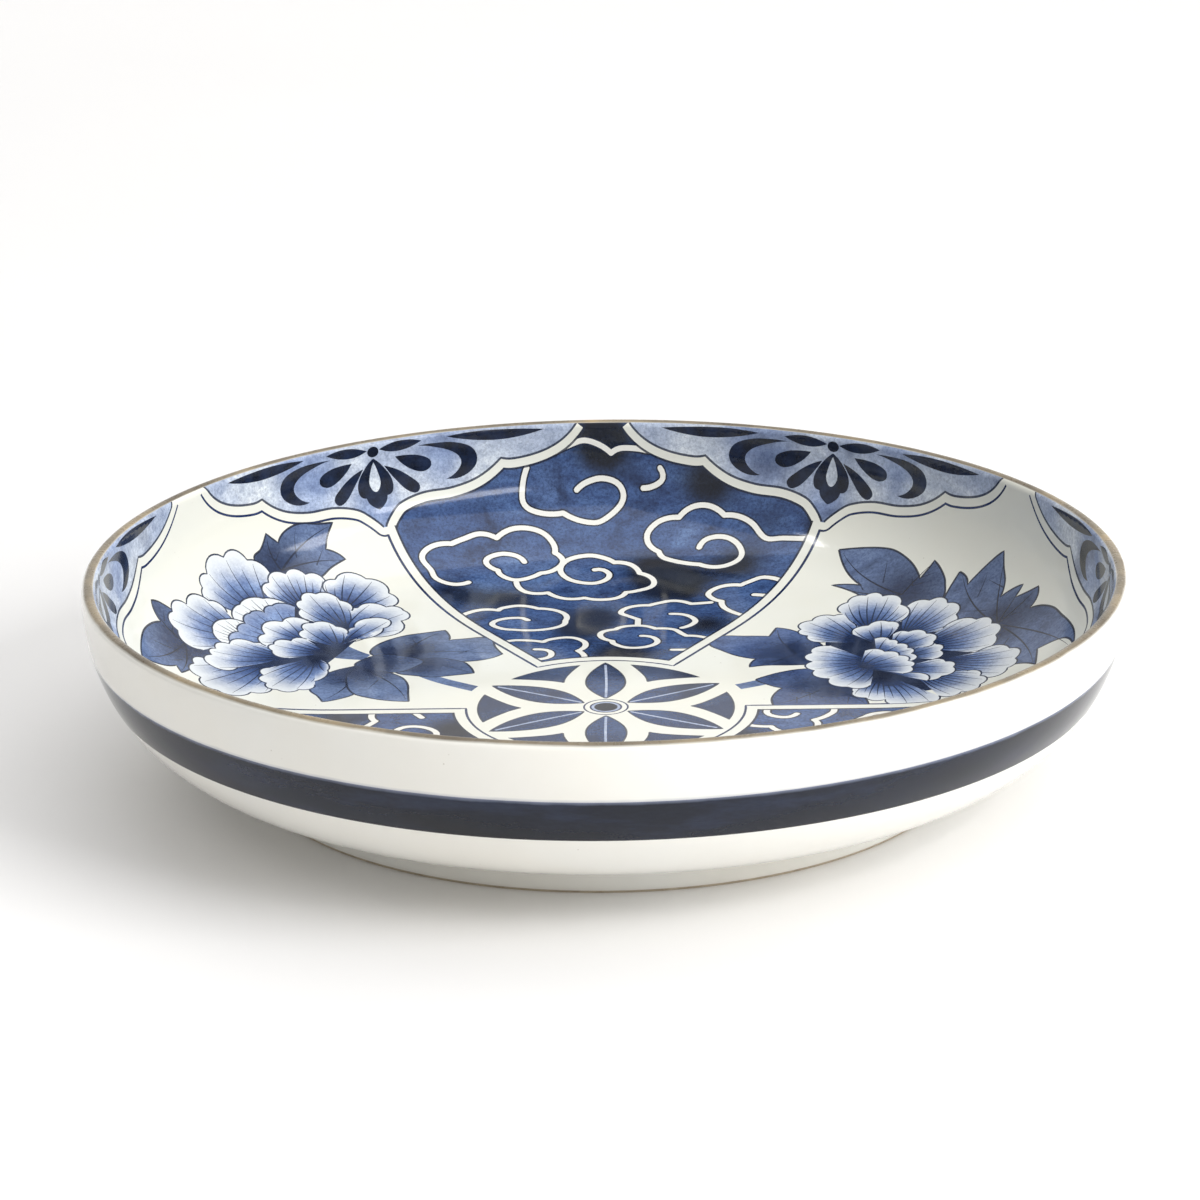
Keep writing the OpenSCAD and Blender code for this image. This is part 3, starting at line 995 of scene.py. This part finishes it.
def iron_brown():
    """The lip's iron coat: grey-brown on top, worn to tan in places, thinning to white glaze outside."""
    nodes = Nodes("iron_brown")
    wear = [(0.3, "665c4c"), (0.48, "7d725f"), (0.62, "92846b"), (0.78, "b49b70")]
    colour = nodes.ramp(nodes.noise(60, 3, 0.5), wear)
    flecks = nodes.ramp(nodes.noise(1500, 4, 0.7), [(0.36, (0.62, 0.6, 0.58)), (0.6, (1, 1, 1))])
    brown = nodes.mix(0.15, colour, flecks, "MULTIPLY")
    share = nodes.spread(nodes.ragged(nodes.height_mm(), 70, 2, 0.06), BOWL_H - 0.62, BOWL_H - 0.2, 0, 1)
    nodes.give("Base Color", nodes.mix(share, white_colour(nodes), brown))
    worn = nodes.spread(nodes.noise(420, 4), 0.3, 0.7, 0.1, 0.3)
    glaze_finish(nodes, matt=nodes.maths("MULTIPLY", share, worn))
    return nodes.material


def cobalt_band():
    """Brushed cobalt: nearly black, with greyer drifts along the stroke and a soft top edge."""
    nodes = Nodes("cobalt_band")
    blues = [(0.3, "16181f"), (0.52, "1b202d"), (0.68, "242c40"), (0.85, "2c3852")]
    drift = nodes.ramp(nodes.noise(26, 5, 0.6, stretch=(1, 1, 5)), blues)
    grain = nodes.ramp(nodes.noise(520, 5, 0.7, stretch=(1, 1, 3)),
                       [(0.3, (0.7, 0.72, 0.78)), (0.7, (1, 1, 1))])
    body = nodes.mix(0.8, drift, grain, "MULTIPLY")
    high = nodes.height_mm()
    top = nodes.spread(nodes.ragged(high, 120, 3, 0.15), BAND_HIGH - 0.75, BAND_HIGH + 0.1, 0, 0.75)
    low = nodes.spread(nodes.ragged(high, 400, 4, 0.12), BAND_LOW, BAND_LOW + 0.35, 1, 0)
    topped = nodes.mix(top, body, tint("8790a8"))
    nodes.give("Base Color", nodes.mix(nodes.maths("MULTIPLY", low, 0.6), topped, tint("4a4646")))
    glaze_finish(nodes)
    nodes.give("Specular IOR Level", 0.36)
    return nodes.material


def print_glaze(name, mottle):
    """The printed sections: each corner's painted colour, mottled by how much blue it carries."""
    nodes = Nodes(name)
    paint = nodes.add("ShaderNodeVertexColor", layer_name="Paint")
    load, ink = paint.outputs["Alpha"], paint.outputs["Color"]
    pools = nodes.ramp(nodes.noise(75, 6, 0.62, distortion=0.5),
                       [(0.3, (0.3, 0.32, 0.38)), (0.5, (0.95, 0.96, 0.98)), (0.72, (1.7, 1.6, 1.42))])
    strokes = nodes.ramp(nodes.noise(420, 5, 0.7, stretch=(0.45, 1, 1)),
                         [(0.32, (0.7, 0.72, 0.78)), (0.68, (1.22, 1.2, 1.15))])
    grain = nodes.ramp(nodes.noise(1500, 4, 0.8),
                       [(0.4, (0.5, 0.51, 0.55)), (0.5, (1, 1, 1)), (0.62, (1.4, 1.36, 1.28))])
    mottled = ink
    for layer, share in ((pools, mottle), (strokes, mottle), (grain, 0.75 * mottle)):
        mottled = nodes.mix(share, mottled, layer, "MULTIPLY")
    clear = nodes.mix(nodes.spread(load, 0, 0.08, 0, 1), white_colour(nodes, INSIDE_TONE), ink)
    nodes.give("Base Color", nodes.mix(load, clear, mottled))
    glaze_finish(nodes)
    return nodes.material


# ---- the bowl, piece by piece
def put(name, data):
    """A new object in the scene."""
    made = bpy.data.objects.new(name, data)
    bpy.context.scene.collection.objects.link(made)
    return made


def add_piece(name, mesh, node_stood_for, turn=0):
    """A piece on the bowl's one body; a repeat gets its own copy of the mesh, turned about the axis."""
    if turn:
        mesh = mesh.copy()
        mesh.transform(Matrix.Rotation(math.radians(turn), 4, "Z"))
    piece = put(name, mesh)
    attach(piece, "root")
    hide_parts(node_stood_for)


def body_outline():
    """The clay wall under the print and the coats, down to the top of the foot."""
    inside = inner_run(110)
    # Radius plus height always grows along the inside face, so it finds the distance along it
    along = np.interp(inside.sum(1), INSIDE.sum(1), ALONG)
    inner_back = inside - np.stack(inside_at(along)[2:], -1) * PRINT_T
    band_face = outer_run(BAND_LOW, BAND_HIGH, 16)
    return np.vstack([
        [[0, FLOOR_Z - PRINT_T], [25, FLOOR_Z - PRINT_T]], inner_back,
        lip_arc(LIP_R - LIP_COAT_T, 12), [[BOWL_R - LIP_COAT_T, COAT_LOW]],
        outer_run(BAND_HIGH, COAT_LOW, 24)[::-1],
        band_face[::-1] - [PRINT_T, 0],
        outer_run(FOOT_H, BAND_LOW, 48)[::-1],
        [[FOOT_IN_R, FOOT_H], [FOOT_IN_R, RECESS_H], [FOOT_IN_R / 2, RECESS_H], [0, RECESS_H]]])


def foot_outline():
    """The foot: a swept outer face, a rounded resting edge and a straight inner face."""
    flare = FOOT_H / 4
    outer = curve([(REST_OUT_R, 0), (FOOT_R - flare / 2, flare), (FOOT_R, FOOT_H)], 0.35)
    inner = curve([(FOOT_IN_R, flare), (REST_IN_R, 0)], 0.35)
    return np.vstack([[[FOOT_IN_R, FOOT_H]], inner, outer])


def rim_outline():
    return np.vstack([
        lip_arc(LIP_R, 28), outer_run(COAT_LOW, COAT_LOW, 1)[:1],
        [[BOWL_R - LIP_COAT_T, COAT_LOW]], lip_arc(LIP_R - LIP_COAT_T, 12)[::-1]])


def band_outline():
    face = outer_run(BAND_LOW, BAND_HIGH, 16)
    return np.vstack([face, face[::-1] - [PRINT_T, 0]])


def foot_finish(a, b):
    """Bare clay on and near the resting face, glaze above it."""
    return 1 if (a[1] + b[1]) / 2 < FOOT_H / 14 else 0


white = white_glaze()
add_piece("bowl_wall", lathe("bowl_wall", body_outline(), [white]), "bowl_body")
add_piece("foot", lathe("foot", foot_outline(), [white, bare_clay()], material_of=foot_finish),
          "foot_ring")
add_piece("lip_coat", lathe("lip_coat", rim_outline(), [iron_brown()], 360), "rim_band")
add_piece("cobalt_ring", lathe("cobalt_ring", band_outline(), [cobalt_band()]),
          "outer_band")

# Each design is drawn once and turned round the bowl; the third peony panel repeats the open peony
cloud = section_mesh("cloud", cloud_section(), print_glaze("cloud_print", 1.0))
open_peony = section_mesh("peony_1", peony_section(OPEN_LEAVES, [OPEN_STEM], OPEN_CORE,
                          OPEN_PETALS), print_glaze("peony_print_1", 0.75))
side_peony = section_mesh("peony_2", peony_section(SIDE_LEAVES, [SIDE_STEM, SIDE_CALYX], SIDE_CORE,
                          SIDE_PETALS), print_glaze("peony_print_2", 0.75))
rosette = section_mesh("rosette", rosette_section(), print_glaze("rosette_print", 0.8))
lappet = section_mesh("lappet", lappet_section(), print_glaze("lappet_print", 0.7))
for k in range(3):
    add_piece(f"clouds_{k + 1}", cloud, f"cloud_panel_{k + 1}", 2 * SECTOR * k)
for k, mesh in enumerate((open_peony, side_peony, open_peony)):
    add_piece(f"peony_{k + 1}", mesh, f"peony_panel_{k + 1}",
              HALF_SECTOR + 2 * SECTOR * k - DRAWN_AT)
add_piece("rosette", rosette, "centre_rosette")
for k in range(6):
    add_piece(f"lappet_{k + 1}", lappet, f"rim_lappet_{k + 1}", SECTOR * k - DRAWN_AT)


# ---- floor, light and camera
def paper():
    nodes = Nodes("paper")
    colour = tint("f0efee")
    nodes.give("Base Color", nodes.ramp(nodes.noise(3, 2), [(0.3, colour * 0.985), (0.7, colour)]))
    nodes.give("Roughness", 0.6)
    nodes.give("Specular IOR Level", 0.2)
    return nodes.material


def sweep():
    """Pale floor that curves up into a backdrop."""
    half_w, front, bend, high, radius = 4.0, -3.0, 2.2, 3.2, 1.2
    turns = np.linspace(0, math.pi / 2, 17)
    path = [(front, 0), (bend - radius, 0)]
    path += [(bend - radius + radius * math.sin(t), radius - radius * math.cos(t)) for t in turns[1:]]
    path.append((bend, high))
    verts = [(x, y, z) for y, z in path for x in (-half_w, half_w)]
    faces = [(2 * i, 2 * i + 1, 2 * i + 3, 2 * i + 2) for i in range(len(path) - 1)]
    mesh = bpy.data.meshes.new("floor_sweep")
    mesh.from_pydata(verts, [], faces)
    mesh.shade_smooth()
    mesh.materials.append(paper())
    put("floor_sweep", mesh)


def softbox(name, place, target, size, power, mirrored_in_glaze=True, lights=True):
    """A rectangular lamp, which can be kept out of the glaze's mirror or be seen only in it."""
    lamp = bpy.data.lights.new(name, "AREA")
    lamp.shape = "RECTANGLE"
    lamp.size, lamp.size_y = size
    lamp.energy = power
    made = put(name, lamp)
    made.location = place
    made.rotation_euler = (Vector(target) - Vector(place)).to_track_quat("-Z", "Y").to_euler()
    made.visible_glossy = mirrored_in_glaze
    made.visible_diffuse = lights


SURROUND_LIGHT = 0.57
sweep()
softbox("key_right", (1.0, -0.62, 0.78), (0, 0, 0.02), (0.8, 0.6), 14.5, False)
softbox("back_soft", (-0.3, 1.5, 1.1), (0, 0, 0.02), (1.2, 1.2), 5, False)
softbox("low_right", (1.5, -0.7, 0.16), (0, 0, 0.02), (0.6, 0.25), 4.5, False)
# Window panes that are only seen in the glaze
WALL_SPOT = (-0.05, 0.09, 0.025)
softbox("pane_wide", (0.78, -0.81, 0.9), WALL_SPOT, (0.9, 0.16), 3.2, lights=False)
softbox("pane_left", (1.05, 0.09, 1.1), WALL_SPOT, (0.4, 0.2), 1.6, lights=False)
softbox("pane_right", (-0.6, 0.27, 1.4), (0.05, 0.09, 0.02), (0.3, 0.03), 0.6, lights=False)
softbox("top", (0.5, 0.2, 2.2), (0, 0, 0), (2.4, 2.4), 19.5)
world = bpy.data.worlds.new("studio")
world.use_nodes = True
surround = world.node_tree.nodes["Background"]
surround.inputs["Color"].default_value = (1, 1, 1, 1)
surround.inputs["Strength"].default_value = SURROUND_LIGHT
bpy.context.scene.world = world
bpy.context.scene.view_settings.view_transform = "Standard"

# The camera stands 0.91 m off, 20.7 degrees above the table, with a long lens and a slight roll
EYE_DISTANCE = 0.909
EYE_ELEVATION = math.radians(20.7)
EYE_ROLL = math.radians(-0.67)
LOOK_AT = Vector((-0.001, 0, 0.81 * BOWL_H * MM))
lens = bpy.data.cameras.new("eye")
lens.lens = 126.9
lens.sensor_width = 36
eye = put("eye", lens)
place = EYE_DISTANCE * Vector((0, -math.cos(EYE_ELEVATION), math.sin(EYE_ELEVATION)))
ahead = (LOOK_AT - place).normalized()
level = ahead.cross(Vector((0, 0, 1))).normalized()
upright = level.cross(ahead)
side = level * math.cos(EYE_ROLL) + upright * math.sin(EYE_ROLL)
top = upright * math.cos(EYE_ROLL) - level * math.sin(EYE_ROLL)
eye.matrix_world = Matrix.Translation(place) @ Matrix((side, top, -ahead)).transposed().to_4x4()
bpy.context.scene.camera = eye
